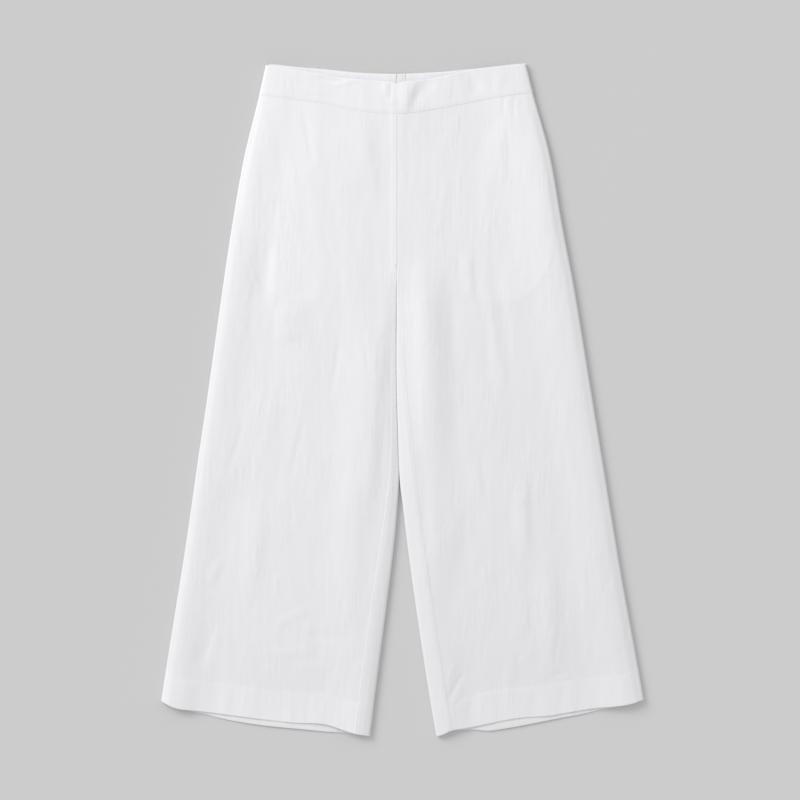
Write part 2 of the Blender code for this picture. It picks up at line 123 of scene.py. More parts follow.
# Table, light and camera, in metres
TABLE_HALF = 4.0
LAMP = (-2.5, 1.95, 2.3)
LAMP_SIZE = 1.97
LAMP_WATTS = 77.0
ROOM_LIGHT = 0.62
PAPER_SHADES = (
    # distance from the lamp's foot, shade
    (1.71, 0.51),
    (2.26, 0.556),
    (2.76, 0.622),
    (3.21, 0.682),
    (3.64, 0.728),
    (4.10, 0.772),
    (5.26, 0.83),
)
LENS = 85.0  # millimetres
SENSOR = 36.0
VIEW_WIDTH = 1.1429  # of the table that is seen
VIEW_MIDDLE = (4.3, 477.1)  # place on the garment, in millimetres


# ---------------------------------------------------------------- the outline, read off the CAD


def triangles_of(names):
    """Triangles of some CAD nodes as an array of (triangle, corner, (x, down, height)), in millimetres."""
    found = []
    for name in names:
        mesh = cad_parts[name].data
        mesh.calc_loop_triangles()
        points = np.empty(len(mesh.vertices) * 3, np.float32)
        corners = np.empty(len(mesh.loop_triangles) * 3, np.int32)
        mesh.vertices.foreach_get("co", points)
        mesh.loop_triangles.foreach_get("vertices", corners)
        points = points.reshape(-1, 3).astype(float)
        garment = np.stack([points[:, 0] - CENTRE_X, WAIST_Y - points[:, 1], points[:, 2]], axis=1) / MM
        found.append(garment[corners].reshape(-1, 3, 3))
    return np.concatenate(found)


def crossings(triangles, axis, at, lowest=-1.0, highest=99.0):
    """Where the triangles' edges cross the plane axis = at, along the other horizontal axis. Only crossings
    between the two heights count, which tells the front from the back."""
    found = []
    for a, b in ((0, 1), (1, 2), (2, 0)):
        near = triangles[:, a, axis] - at
        far = triangles[:, b, axis] - at
        crossed = near * far < 0
        share = (near[crossed] / (near[crossed] - far[crossed]))[:, None]
        places = triangles[crossed, a] + share * (triangles[crossed, b] - triangles[crossed, a])
        kept = (places[:, 2] > lowest) & (places[:, 2] < highest)
        found.append(places[kept, 1 - axis])
    return np.concatenate(found)


def smoothed(values, spread):
    """A row of samples after a Gaussian of that many samples, with its ends carried on in a straight line."""
    reach = int(3 * spread) + 1
    before = values[0] + (values[0] - values[1]) * np.arange(reach, 0, -1)
    after = values[-1] + (values[-1] - values[-2]) * np.arange(1, reach + 1)
    weights = np.exp(-0.5 * (np.arange(-reach, reach + 1) / spread) ** 2)
    return np.convolve(np.concatenate([before, values, after]), weights / weights.sum(), "valid")


def line_through(keys, values):
    """A function that reads the samples anywhere, going straight on past both ends."""

    def read(at):
        at = np.asarray(at, float)
        inside = np.interp(at, keys, values)
        low = values[0] + (at - keys[0]) * (values[1] - values[0]) / (keys[1] - keys[0])
        high = values[-1] + (at - keys[-1]) * (values[-1] - values[-2]) / (keys[-1] - keys[-2])
        return np.where(at < keys[0], low, np.where(at > keys[-1], high, inside))

    return read


class Leg:
    """One side of the garment. Its folds are distances out from the centre line, read at a distance down. Its
    waist and hem edges are distances down, read at a share of the way from the side (0) inwards (1)."""

    def __init__(self, side):
        self.side = side
        self.sign = SIDES[side]
        front = triangles_of(["front_leg_" + side])
        back = triangles_of(["back_leg_" + side])
        band = triangles_of(["waistband_front"])
        back_band = triangles_of(["waistband_back_" + side])
        bag = triangles_of(["pocket_bag_" + side])
        whole = np.concatenate([front, back, band])
        self.side_fold = self.down_line(whole, 1.0, 903.0, np.max)
        self.inner_fold = self.down_line(back, 312.0, 950.0, np.min)
        self.inseam = self.down_line(front, 300.0, 946.0, np.min)
        self.bag_outside = self.down_line(bag, 82.0, 330.0, np.max, 1.0)
        self.bag_inside = self.down_line(bag, 82.0, 330.0, np.min, 1.0)
        self.bag_bottom = self.bag_line(bag)
        self.front_top = self.across_line(band, 0.0, 12.0, np.min, ANY_HEIGHT)
        self.back_top = self.across_line(back_band, 0.0, 0.0, np.min, ANY_HEIGHT)
        self.front_seam = self.across_line(front, 45.0, 60.0, np.min, ANY_HEIGHT)
        self.front_hem = self.across_line(whole, 905.0, 955.0, np.max, UPPER_LAYER)
        self.back_hem = self.across_line(back, 905.0, 955.0, np.max, LOWER_LAYER)

    def down_line(self, triangles, start, stop, pick, spread=3.0):
        """How far out an edge lies at each distance down."""
        downs = np.arange(start, stop, 7.0)
        outs = [pick(self.sign * crossings(triangles, 1, down)) for down in downs]
        return line_through(downs, smoothed(np.array(outs), spread))

    def across_line(self, triangles, side_down, inner_down, pick, heights):
        """How far down an edge lies, from the side fold to the centre line or the inner fold."""
        shares = np.linspace(0.015, 0.985, 60)
        outer = float(self.side_fold(side_down))
        inner = float(self.inner_fold(inner_down)) if inner_down > CROTCH_DOWN else 0.0
        outs = outer + (inner - outer) * shares
        downs = [pick(crossings(triangles, 0, self.sign * out, *heights)) for out in outs]
        return line_through(shares, smoothed(np.array(downs), 1.5))

    def bag_line(self, triangles):
        """How far down the pocket bag reaches at each distance out."""
        ends = self.sign * triangles[:, :, 0]
        outs = np.linspace(ends.min() + 2.0, ends.max() - 2.0, 40)
        downs = [np.max(crossings(triangles, 0, self.sign * out)) for out in outs]
        return line_through(outs, smoothed(np.array(downs), 1.5))

    def hem_line(self, share):
        """The front's lower edge, drawn up a little where the cloth stands off the table."""
        if self.side == "right":
            return self.front_hem(share) - 1.0 - 4.6 * bump((share - 0.78) / 0.15)
        drawn_up = soft_step((share - 0.42) / 0.2) * soft_step((0.98 - share) / 0.07)
        return self.front_hem(share) - 1.0 - 4.4 * drawn_up

    def back_line(self, share):
        """The back's lower edge, drawn up a little behind it."""
        if self.side == "right":
            return self.back_hem(share) - 2.2 * bump((share - 0.68) / 0.36)
        drawn_up = soft_step((share - 0.72) / 0.12) * soft_step((0.98 - share) / 0.07)
        return self.back_hem(share) - 3.0 * bump((share - 0.6) / 0.4) - 4.6 * drawn_up

    def share_in(self, out, down):
        """0 at the side fold to 1 at the inner fold or the centre line."""
        outer = self.side_fold(down)
        inner = np.where(down > CROTCH_DOWN, self.inner_fold(down), 0.0)
        return (outer - out) / (outer - inner)


# ---------------------------------------------------------------- the lie of the cloth


def soft_step(value):
    """0 at 0 and below, rising smoothly to 1 at 1 and beyond."""
    value = np.clip(value, 0.0, 1.0)
    return value * value * (3 - 2 * value)


def bump(distance):
    """1 at 0, falling smoothly to 0 at 1 and beyond."""
    return 0.5 + 0.5 * np.cos(np.pi * np.clip(np.abs(distance), 0.0, 1.0))


def rumple(x, down, across, along, seed):
    """Smooth random height from -1 to 1, in patches of that size in millimetres."""
    values = np.random.default_rng(seed).uniform(-1.0, 1.0, (260, 420))
    u = (x + 400.0) / across
    v = (down + 50.0) / along
    i = np.clip(u.astype(int), 0, values.shape[0] - 2)
    j = np.clip(v.astype(int), 0, values.shape[1] - 2)
    s = soft_step(u - i)
    t = soft_step(v - j)
    low = values[i, j] * (1 - s) + values[i + 1, j] * s
    high = values[i, j + 1] * (1 - s) + values[i + 1, j + 1] * s
    return low * (1 - t) + high * t


# Creases of the front, listed one by one. Each is a crest (height above 0) or a furrow (below 0) that fades
# out at its ends. Bow is how far its middle lies aside of the straight line. The widths are those of its two
# flanks: for one that runs down, first the one towards the wearer's right.
FRONT_CREASES = (
    # from_x, from_down, to_x, to_down, bow, first_width, second_width, height
    # right leg, beside the side seam
    (-184, 235, -191, 352, 2, 30, 14, -1.9),
    (-215, 258, -199, 316, 0, 5.8, 6.9, 0.47),
    (-206, 298, -216, 346, 0, 4.6, 6.9, 0.42),
    (-197, 246, -200, 292, 1, 4.6, 4.6, -0.38),
    (-229, 352, -207, 402, 0, 6.9, 5.8, 0.38),
    (-220, 500, -239, 574, 2, 5.8, 10.3, -0.51),
    (-243, 696, -270, 746, -2, 11.5, 10.3, 0.77),
    (-262, 790, -284, 868, 2, 22, 9, -1.2),
    # right leg, middle
    (-137, 54, -119, 150, 2, 8, 6.9, -0.51),
    (-55, 70, -37, 194, 3, 60, 27, 1.8),
    (-156, 330, -148, 402, 0, 30, 36, 1.8),
    (-81, 372, -97, 480, 2, 5.8, 8, -0.51),
    (-46, 388, -40, 448, 0, 4.6, 4.6, -0.42),
    (-25, 385, -29, 452, 0, 4.6, 5.8, -0.42),
    (-24, 325, -50, 690, 0, 62, 24, 3.6),
    (-128, 492, -152, 596, -2, 5.8, 8, -0.51),
    (-201, 545, -203, 604, 0, 5.8, 5.8, 0.38),
    (-180, 470, -180, 505, 0, 4.6, 4.6, 0.34),
    (-58, 560, -76, 820, 2, 46, 32, 2.3),
    (-170, 720, -172, 764, 0, 4, 4, 0.38),
    (-205, 752, -209, 790, 2, 4.6, 4.6, -0.38),
    (-178, 804, -118, 774, 4, 11.5, 9.2, 0.51),
    (-135, 812, -76, 822, 2, 9.2, 11.5, -0.51),
    (-206, 838, -112, 831, -3, 11.5, 11.5, 0.47),
    (-150, 852, -95, 862, 0, 9.2, 9.2, 0.38),
    (-196, 600, -214, 780, 4, 26, 20, 1.4),
    # left leg, from the inner fold outwards
    (40, 240, 54, 600, 0, 34, 38, 5.8),
    (34, 436, 38, 534, 0, 6.9, 5.8, 0.51),
    (52, 500, 62, 760, 0, 24, 44, 2.3),
    (81, 566, 83, 644, 0, 4.6, 4.6, -0.38),
    (119, 256, 157, 512, 4, 18, 15, 1),
    (126, 262, 160, 470, 3, 12, 22, -0.7),
    (100, 262, 106, 340, 0, 16, 10, 1.1),
    (118, 540, 127, 626, 0, 6.9, 9.2, -0.59),
    (151, 42, 152, 74, 0, 4, 4.6, -0.59),
    (166, 41, 166, 78, 0, 4, 4.6, -0.51),
    (144, 76, 149, 192, 1, 30, 15, 1.6),
    (84, 66, 88, 102, 0, 4.6, 4.6, 0.38),
    (88, 152, 89, 184, 0, 4.6, 4.6, 0.34),
    (61, 150, 58, 204, 0, 4.6, 5.8, -0.38),
    (176, 568, 181, 724, 2, 20, 14, 1.8),
    (208, 690, 221, 884, 3, 22, 24, 2.1),
    (233, 776, 224, 876, 0, 5.8, 4.6, -0.51),
    (124, 706, 126, 744, 0, 4, 4, 0.42),
    (134, 704, 136, 742, 0, 4, 4, 0.42),
    (192, 730, 206, 842, 0, 4.6, 5.8, 0.47),
    (182, 776, 188, 808, 0, 4.6, 4.6, 0.34),
    (262, 700, 272, 794, 0, 11.5, 9.2, 0.51),
    (73, 908, 97, 862, 2, 8, 5.8, -0.94),
    (77, 914, 101, 899, 0, 4.6, 4.6, -0.59),
    (70, 886, 84, 846, 0, 5.8, 5.8, 0.51),
    (167, 852, 180, 836, 0, 5.8, 5.8, -0.42),
    (214, 873, 247, 864, 0, 5.8, 5.8, -0.51),
    # waistband
    (-122, 18, -76, 26, 1, 5.8, 5.8, -0.68),
    (-96, 31, -48, 20, 0, 5.8, 5.8, 0.51),
    (-150, 34, -90, 40, 0, 8, 8, 0.34),
    (-16, 21, -14, 48, 0, 10.3, 8, 1),
    (-8, 20, -8, 52, 0, 6, 14, -0.88),
    (28, 18, 6, 72, -2, 34, 14, 2.5),
    (52, 14, 20, 62, -3, 18, 18, -1.5),
    (90, 2, 120, 42, 2, 14, 12, -1.4),
    (152, 8, 140, 44, 0, 10.3, 10.3, 0.51),
    (176, 4, 182, 38, 0, 8, 8, 0.42),
)

# The cloth springs back beside its folds in a long soft roll: how far the crest lies from the fold, the width
# of its inner flank, and its height at some distances down.
SIDE_ROLLS = {
    "right": (11.0, 52.0, (0.0, 45.0, 150.0, 230.0, 330.0, 450.0, 640.0, 730.0, 860.0, 950.0),
              (0.6, 2.4, 4.0, 3.9, 3.7, 3.7, 3.9, 4.4, 4.6, 4.2)),
    "left": (15.0, 66.0, (0.0, 60.0, 120.0, 310.0, 350.0, 500.0, 700.0, 900.0, 950.0),
             (0.6, 3.0, 5.4, 5.6, 5.2, 5.2, 4.8, 4.6, 4.2)),
}
INNER_ROLLS = {
    "right": (13.0, 85.0, (285.0, 330.0, 480.0, 620.0, 800.0, 950.0), (0.0, 0.3, 1.0, 2.8, 3.8, 3.6)),
    "left": (19.0, 50.0, (282.0, 305.0, 480.0, 620.0, 760.0, 950.0), (0.0, 1.0, 1.8, 2.6, 2.8, 2.6)),
}


def creases(table, x, down, side_sign):
    """The height that a table of creases gives at each place of one side."""
    height = np.zeros_like(x)
    for from_x, from_down, to_x, to_down, bow, first, second, rise in table:
        if (from_x + to_x) * side_sign < -40.0:
            continue
        length = math.hypot(to_x - from_x, to_down - from_down)
        run_x = (to_x - from_x) / length
        run_down = (to_down - from_down) / length
        along = ((x - from_x) * run_x + (down - from_down) * run_down) / length
        aside = (x - from_x) * run_down - (down - from_down) * run_x
        aside -= bow * 4 * along * (1 - along)
        profile = bump(aside / np.where(aside < 0, first, second))
        height += rise * profile * soft_step(along / 0.35) * soft_step((1 - along) / 0.35)
    return height


def roll(settings, from_fold, down):
    """The height of a roll at this distance from its fold."""
    crest, width, downs, heights = settings
    beside = from_fold - crest
    profile = np.where(beside < 0, 0.55 + 0.45 * bump(beside / crest), bump(beside / width))
    return np.interp(down, downs, heights) * profile


def pull_lift(x, down):
    """How far the zip's pull lifts the cloth."""
    return PULL_LIFT * bump(x / PULL_REACH[0]) * bump((down - PULL_DOWN) / PULL_REACH[1])


def rumples(x, down):
    """The small unevenness of pressed linen: long soft waves down the leg, and finer ones."""
    height = 0.50 * rumple(x, down, 34.0, 120.0, 11)
    height += 0.26 * rumple(x, down, 16.0, 46.0, 12)
    return height + 0.15 * rumple(x, down, 8.0, 26.0, 13)


def plateau(distance, start, stop, soft):
    """1 between two distances, falling softly to 0 outside."""
    return soft_step((distance - start) / soft + 0.5) * soft_step((stop - distance) / soft + 0.5)


def groove(distance, depth, half_width):
    """A narrow hollow along a seam."""
    return depth * np.exp(-((distance / half_width) ** 2))


def bag_behind(leg, out, down):
    """1 where the pocket bag lies behind the front."""
    inside = np.minimum(leg.bag_outside(np.clip(down, *BAG_READ)) - out, leg.bag_bottom(out) - down)
    across = soft_step((out - leg.bag_inside(np.clip(down, 84.0, 300.0))) / 34.0)
    return soft_step(inside / 3.5 + 0.5) * across


def hem_behind(leg, out, down):
    """1 where the hem's turned-up cloth lies behind."""
    above = down - (leg.hem_line(leg.share_in(out, down)) - HEM_DEPTH)
    return soft_step(above / 1.4 + 0.5)


def from_inseam(leg, out, down):
    """Distance out from the inseam, and far from it above the crotch."""
    return np.where(down > CROTCH_DOWN + 30.0, out - leg.inseam(down), 99.0)


def from_centre_seam(x, down):
    return np.where(down < CROTCH_DOWN + 4.0, x, 99.0)


def doubled(leg, out, down):
    """Where more than one layer lies under the surface, from 0 to 1: pocket bag, hem and seam allowances.
    The linen is painted paler there. Elsewhere it is painted greyer, as painted shade showing through a single
    layer.
    """
    x = out * leg.sign
    seam = from_inseam(leg, out, down)
    allowance = plateau(-seam, 0.0, INSEAM_ALLOWANCE, 3.0)
    strip = plateau(-from_centre_seam(x, down), 0.4, CENTRE_ALLOWANCE, 1.2)
    bag = bag_behind(leg, out, down)
    return np.maximum.reduce([bag, hem_behind(leg, out, down), 0.8 * allowance, strip])


def front_height(leg, out, down):
    """How high the front lies at each place, in millimetres."""
    x = out * leg.sign
    from_side = np.maximum(leg.side_fold(down) - out, 0.0)
    from_inner = np.maximum(out - leg.inner_fold(down), 0.0)
    below_crotch = soft_step((down - CROTCH_DOWN) / 60.0)
    height = WAIST_HEIGHT + (LEG_HEIGHT - WAIST_HEIGHT) * soft_step(down / HEIGHT_REACHED)
    drop_side = np.exp(-((from_side / SIDE_REACH) ** 1.3))
    drop_inner = np.exp(-((from_inner / INNER_REACH) ** 1.3)) * below_crotch
    drop = SIDE_DROP * drop_side + np.interp(down, LEGS_PART, INNER_DROP) * drop_inner
    height = height - drop * soft_step((down + 20.0) / 120.0)
    share = leg.share_in(out, down)
    middle = soft_step((share - 0.08) / 0.2) * soft_step((0.97 - share) / 0.16)
    height = height - HEM_SINK * middle * soft_step((down - leg.hem_line(share) + 120.0) / 110.0)
    free = 1 - np.maximum(drop_side, drop_inner)
    free = free * np.where(down < CROTCH_DOWN, 0.35 + 0.65 * np.minimum(np.abs(x) / 12.0, 1.0), 1.0)
    rolls = roll(SIDE_ROLLS[leg.side], from_side, down) + roll(INNER_ROLLS[leg.side], from_inner, down)
    height = height + free * (creases(FRONT_CREASES, x, down, leg.sign) + rumples(x, down)) + rolls
    height = np.maximum(height, np.where(down < BAG_END, *LOWEST_FRONT) * soft_step(down / 90.0))

    bag = bag_behind(leg, out, down)
    hem = hem_behind(leg, out, down)
    height = height + 0.3 * bag
    height = height + hem * (0.35 + free * 0.40 * rumple(x, down, 13.0, 60.0, 15))
    seam = from_inseam(leg, out, down)
    on_front = soft_step((leg.inseam(down) - leg.inner_fold(down) - 3.0) / 7.0)
    allowance = 0.4 * soft_step(0.3 - seam) * soft_step((INSEAM_ALLOWANCE + 3.0 + seam) / 7.0)
    height = height + on_front * (allowance - groove(seam, 0.12, 1.0))
    centre = from_centre_seam(x, down)
    height = height + 0.35 * plateau(-centre, 0.2, CENTRE_ALLOWANCE, 1.8) - groove(centre - 0.6, 0.10, 1.2)
    return height + pull_lift(out, down)


# Soft lifts of the back off the table
BACK_CREASES = (
    # from_x, from_down, to_x, to_down, bow, first_width, second_width, height
    (-190, 80, -205, 300, 3, 14, 20, 1),
    (-120, 90, -132, 210, 2, 8, 12, 0.6),
    (-60, 130, -50, 320, 3, 22, 26, 1.1),
    (-160, 340, -176, 560, -4, 20, 16, 0.9),
    (-70, 420, -95, 700, 5, 26, 30, 1.2),
    (-210, 600, -240, 860, 3, 16, 24, 1),
    (-120, 760, -130, 900, 0, 12, 14, 0.7),
    (180, 60, 196, 290, 3, 20, 14, 1.1),
    (110, 110, 118, 240, 2, 10, 12, 0.6),
    (58, 180, 66, 420, 0, 24, 20, 1.2),
    (150, 380, 172, 600, 4, 18, 20, 0.9),
    (90, 560, 110, 820, 4, 26, 24, 1.1),
    (216, 640, 244, 880, 3, 20, 18, 0.9),
)


def back_height(leg, out, down):
    """How high the back lies off the table."""
    x = out * leg.sign
    inner = np.where(down > CROTCH_DOWN, leg.inner_fold(down), 0.0)
    free = soft_step((leg.side_fold(down) - out - 8.0) / 20.0) * soft_step((out - inner - 20.0) / 20.0)
    wave = 0.2 + 0.2 * rumple(x, down, 40.0, 130.0, 21) + creases(BACK_CREASES, x, down, leg.sign)
    share = leg.share_in(out, down)
    near_hem = soft_step((down - leg.hem_line(share) + 90.0) / 90.0)
    curl = BACK_HEM_LIFT * bump((share - 0.56) / 0.44) * near_hem
    return CLOTH / 2 + free * wave * (1 - 0.8 * near_hem) + curl + pull_lift(out, down)


# ---------------------------------------------------------------- sections of a leg


def inner_width(down):
    """Half the width of the turn round the inner fold, which opens where the legs part."""
    return 1.3 + 2.3 * soft_step((down - LEGS_PART[0]) / (LEGS_PART[1] - LEGS_PART[0]))


def turned(leg, fold, step, width, distance, down, inset):
    """Points of a section round a fold, by their distance along the cloth: above 0 over the front, below 0
    over the back. Step is the way out from the fold into the leg. Inset sets an inner layer in."""
    low = CLOTH / 2 + inset
    top = front_height(leg, fold + step * width, down) - inset
    half = (top - low) / 2
    turn = math.pi / 4 * (half + width)
    far = np.abs(distance)
    angle = np.clip(far / turn, 0.0, 1.0) * math.pi / 2
    out = fold + step * (width * (1 - np.cos(angle)) + np.maximum(far - turn, 0.0))
    upper = distance >= 0
    round_height = low + half + np.where(upper, 1.0, -1.0) * half * np.sin(angle)
    flat_height = np.where(upper, front_height(leg, out, down) - inset, back_height(leg, out, down) + inset)
    return out, np.where(far < turn, round_height, flat_height)


def side_turn(leg, distance, down, inset=0.0):
    fold = leg.side_fold(down) - CLOTH / 2 - inset
    width = (front_height(leg, fold - 3.0, down) - CLOTH / 2) / 2 - inset
    return turned(leg, fold, -1.0, width, distance, down, inset)


def inner_turn(leg, distance, down, inset=0.0):
    touching = 1 - soft_step((down - LEGS_PART[0]) / (LEGS_PART[1] - LEGS_PART[0]))
    pressed = 1.66 + 0.3 * (1 - soft_step((down - CROTCH_DOWN) / 40.0))
    fold = leg.inner_fold(down) - pressed * touching + CLOTH / 2 + inset
    return turned(leg, fold, 1.0, inner_width(down) - inset * 0.5, distance, down, inset)


# Distances from an edge of a piece at which its grid has lines, so that turns and seams are smooth
EDGE_LINES = np.array([0.0, 0.5, 1.0, 1.6, 2.3, 3.1, 4.0, 5.0, 6.2, 7.6, 9.2, 11.0, 13.2])
ROLL_LINES = np.concatenate([EDGE_LINES, np.arange(15.5, 48.0, 2.5)])


def seam_place(leg, down):
    """How far the inseam lies from the inner fold, along the cloth."""
    return (leg.inseam(down) - leg.inner_fold(down)) * soft_step((down - CROTCH_DOWN - 1.0) / 40.0)


def leg_surface(leg, front, middle, down, inset):
    """Points of a leg piece, in rows from its side seam to its inseam, or to the centre above the crotch."""
    inner_lines = (EDGE_LINES if front else ROLL_LINES)[::-1]
    side_down = down[:, : len(EDGE_LINES)]
    inner_down = down[:, -len(inner_lines) :]
    middle_down = down[:, len(EDGE_LINES) : -len(inner_lines)]
    way = 1.0 if front else -1.0
    side_out, side_height = side_turn(leg, way * (EDGE_LINES + SEAM / 2), side_down, inset)
    along = seam_place(leg, inner_down) + way * (inner_lines + SEAM / 2)
    fold_out, fold_height = inner_turn(leg, along, inner_down, inset)
    flat_out = inner_lines + (SEAM / 2 if front else slit_half_width(inner_down))
    flat_out = np.broadcast_to(flat_out, inner_down.shape)
    folded = soft_step((inner_down - CROTCH_DOWN + CROTCH_EASE) / CROTCH_EASE)
    inner_out = flat_out + (fold_out - flat_out) * folded
    middle_out = side_out[:, -1:] + (inner_out[:, :1] - side_out[:, -1:]) * middle
    if front:
        flat_height = front_height(leg, flat_out, inner_down) - inset
        middle_height = front_height(leg, middle_out, middle_down) - inset
    else:
        flat_height = back_height(leg, flat_out, inner_down) + inset
        middle_height = back_height(leg, middle_out, middle_down) + inset
    inner_height = flat_height + (fold_height - flat_height) * folded
    out = np.concatenate([side_out, middle_out, inner_out], axis=1)
    height = np.concatenate([side_height, middle_height, inner_height], axis=1)
    return np.stack([out, down, height], axis=-1)


def slit_half_width(down):
    """The slit above the zip's slider, closed below the waistband."""
    return np.interp(down, [8.0, 26.0, 44.0, 60.0], [0.75, 0.2, 0.15, SEAM / 2])


def leg_points(leg, front, step):
    """Rows of points of a leg piece, from the waist seam down to the hem and up inside it."""
    middle = np.linspace(0.0, 1.0, int(LEG_WIDTH / step))[1:-1]
    way = 1.0 if front else -1.0
    inner_lines = (EDGE_LINES if front else ROLL_LINES)[::-1]

    def shares(down, seam):
        """Shares of the way across at which the columns lie, and how far past the inner fold they reach."""
        width = leg.side_fold(down) - (leg.inner_fold(down) if down > CROTCH_DOWN else 0.0)
        along = seam + way * inner_lines
        side = EDGE_LINES / width
        inner = 1 - np.abs(along) / width
        return np.concatenate([side, side[-1] + (inner[0] - side[-1]) * middle, inner]), along

    at_top, _ = shares(50.0, 0.0)
    at_hem, along = shares(935.0, float(seam_place(leg, 935.0)))
    if front:
        top = leg.front_seam(at_top) - TUCK
        hem = leg.hem_line(at_hem) - CLOTH / 2
    else:
        top = leg.back_top(at_top) + BAND_DEPTH + SEAM / 2
        on_front = np.concatenate([np.zeros(len(at_hem) - len(along)), soft_step((along + 3.0) / 6.0)])
        hem = leg.back_line(at_hem) * (1 - on_front) + leg.hem_line(at_hem) * on_front - CLOTH / 2
    end = hem - HEM_TURN
    angles = np.radians(np.arange(30.0, 181.0, 30.0))[:, None]
    above = np.linspace(3.0, HEM_DEPTH, 8)[:, None]
    outside = top + (end - top) * row_shares(top, end, step)[:, None]
    down = np.concatenate([outside, end + HEM_TURN * np.sin(angles), end - above])
    inset = np.zeros((len(down), 1))
    inset[-len(above) :] = 2 * HEM_TURN
    inset[-len(above) - len(angles) : -len(above)] = HEM_TURN * (1 - np.cos(angles))
    points = leg_surface(leg, front, middle, down, inset)
    if front:
        seam = leg.front_seam(leg.share_in(points[..., 0], points[..., 1]))
        points[..., 2] -= 0.5 * soft_step((seam - points[..., 1]) / 0.9)
    return points


def row_shares(top, end, step):
    """Shares of the way down a leg, closer together at both ends and at the crotch."""
    length = float(end[-1] - top[-1])
    crotch = CROTCH_DOWN - float(top[-1])
    near = np.array([-14.0, -11.0, -8.5, -6.0, -4.0, -2.5, -1.2, -0.2, 0.6, 1.5, 2.6, 4.0, 6.0, 8.5])
    upper = np.linspace(EDGE_LINES[-1], crotch + near[0], int((crotch - 27.0) / step))[1:-1]
    last = length - EDGE_LINES[-1]
    lower = np.linspace(crotch + near[-1], last, int((last - crotch) / step))[1:-1]
    return np.concatenate([EDGE_LINES, upper, crotch + near, lower, length - EDGE_LINES[::-1]]) / length


# ---------------------------------------------------------------- meshes


def grid_mesh(name, points, places, layers):
    """A mesh of quads through rows of points, in metres, with the cloth's own places as its UV map."""
    rows, columns = points.shape[:2]
    mesh = bpy.data.meshes.new(name)
    index = np.arange(rows * columns).reshape(rows, columns)
    quads = np.stack([index[:-1, :-1], index[:-1, 1:], index[1:, 1:], index[1:, :-1]], axis=-1)
    quads = quads.reshape(-1, 4)
    mesh.from_pydata(points.reshape(-1, 3).tolist(), [], quads.tolist())
    corners = places.reshape(-1, 2)[quads.reshape(-1)]
    mesh.uv_layers.new(name="cloth").data.foreach_set("uv", corners.astype(np.float32).ravel())
    attribute = mesh.attributes.new("layers", "FLOAT", "POINT")
    values = np.broadcast_to(layers, (rows, columns)).astype(np.float32)
    attribute.data.foreach_set("value", values.ravel())
    mesh.shade_smooth()
    return mesh


def in_frame(x, down, height):
    """Places on the garment, in millimetres, as points of the frame, in metres."""
    return np.stack([CENTRE_X + x * MM, WAIST_Y - down * MM, CAD_BOX[0].z + height * MM], axis=-1)


def add_piece(name, mesh, material, node=None, body="garment"):
    piece = bpy.data.objects.new(name, mesh)
    bpy.context.scene.collection.objects.link(piece)
    mesh.materials.append(material)
    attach(piece, body)
    if node:
        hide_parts(node)
    return piece


def cloth_piece(node, points, material, wall=CLOTH, layers=0.0, fabric="linen"):
    """A piece of cloth from rows of (x, down, height), in millimetres, thickened by Solidify. Its own lengths
    along the cloth and its own area are worked out but not used."""
    x, down, height = np.moveaxis(points, -1, 0)
    places = np.stack([x, -down], axis=-1) * MM
    in_metres = in_frame(x, down, height)
    piece = add_piece(fabric + "_" + node, grid_mesh(node, in_metres, places, layers), material, node)
    solidify = piece.modifiers.new("cloth", "SOLIDIFY")
    solidify.thickness = wall * MM
    solidify.offset = 0.0
    across = np.linalg.norm(np.diff(in_metres, axis=1), axis=2).sum(axis=1).max()
    along = np.linalg.norm(np.diff(in_metres, axis=0), axis=2).sum(axis=0).max()
    first = in_metres[1:, 1:] - in_metres[:-1, :-1]
    second = in_metres[1:, :-1] - in_metres[:-1, 1:]
    area = np.linalg.norm(np.cross(first, second), axis=2).sum() / 2
    area = min(area, across * along)
    return piece


def garment_points(leg, points):
    """Rows of (out, down, height) of one side as (x, down, height)."""
    return points * np.array([leg.sign, 1.0, 1.0])


def leg_piece(leg, front, material, step):
    points = leg_points(leg, front, step)
    node = ("front_leg_" if front else "back_leg_") + leg.side
    layers = doubled(leg, points[..., 0], points[..., 1]) if front else 0.0
    return cloth_piece(node, garment_points(leg, points), material, layers=layers)


def front_band_points(leg):
    """Half of the front waistband, from its side seam to the centre line."""
    width = float(leg.side_fold(20.0))
    middle = np.linspace(0.0, 1.0, 90)[1:]
    side = EDGE_LINES / width
    across = np.concatenate([side, side[-1] + (1 - side[-1]) * middle])
    edges = EDGE_LINES[:9] / 46.0
    rows = np.concatenate([edges, np.linspace(edges[-1], 1 - edges[-1], 20)[1:-1], 1 - edges[::-1]])[:, None]
    top = leg.front_top(across) + 2.2 * bump((1 - across) * width / 11.0)
    seam = leg.front_seam(across) - SEAM / 2
    down = top + (seam - top) * rows
    side_out, side_height = side_turn(leg, EDGE_LINES + SEAM / 2, down[:, : len(EDGE_LINES)])
    middle_out = side_out[:, -1:] * (1 - middle)
    middle_height = front_height(leg, middle_out, down[:, len(EDGE_LINES) :])
    out = np.concatenate([side_out, middle_out], axis=1)
    height = np.concatenate([side_height, middle_height], axis=1)
    pressed = BAND_PRESSED[leg.side] * soft_step(1 - (seam - down) / 3.0)
    rolled = 0.5 * soft_step(1 - (down - top) / 1.5)
    allowance = 0.15 * plateau(seam - down, 3.0, INSEAM_ALLOWANCE, 3.0)
    away = soft_step(np.abs(leg.side_fold(down) - out) / 10.0)
    return np.stack([out, down, height + (0.06 - pressed - rolled + allowance) * away], axis=-1)


def waistband_front(legs, material):
    right, left = (garment_points(legs[side], front_band_points(legs[side])) for side in ("right", "left"))
    right[:, -1] = (right[:, -1] + left[:, -1]) / 2
    points = np.concatenate([right, left[:, -2::-1]], axis=1)
    return cloth_piece("waistband_front", points, material, wall=BAND_CLOTH, layers=0.4)


